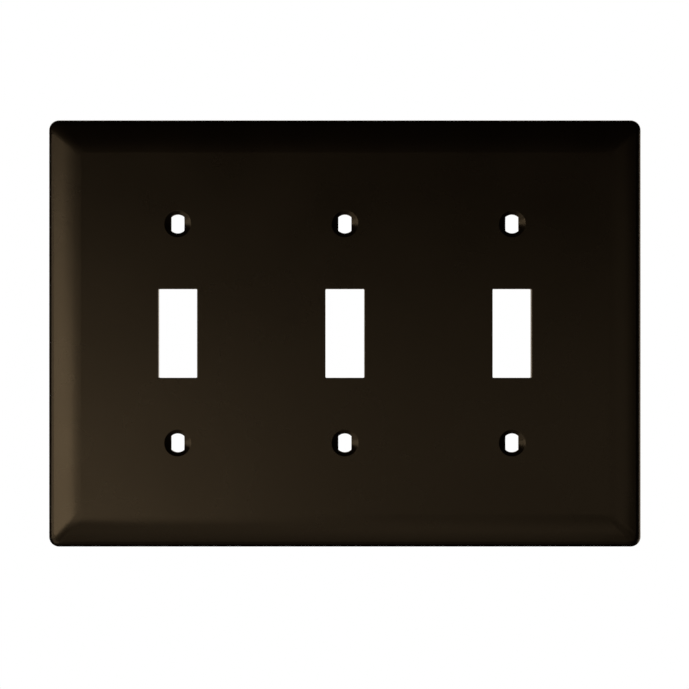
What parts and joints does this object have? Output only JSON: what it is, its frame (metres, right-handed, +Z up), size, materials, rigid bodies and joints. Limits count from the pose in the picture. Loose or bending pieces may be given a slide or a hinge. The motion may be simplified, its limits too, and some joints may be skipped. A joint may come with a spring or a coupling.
{
  "type": "wall plate cover",
  "caption": "Bevelled rectangular wall plate for toggle switches: flat face with upright toggle openings and countersunk screw holes, hollow ribbed back.",
  "frame": {"origin": "centre of the plate on the wall plane, which is the plane of the rim's back face", "axes": "+X to the right seen from the front, +Y out of the back into the wall, +Z up; the face looks along -Y"},
  "size_m": [0.1636, 0.0056, 0.1178],
  "materials": {
    "plate_plastic": "dark brown, low-gloss, fine moulded texture"
  },
  "bodies": {
    "root": {"wall_plate": "plate_plastic"}
  },
  "joints": []
}
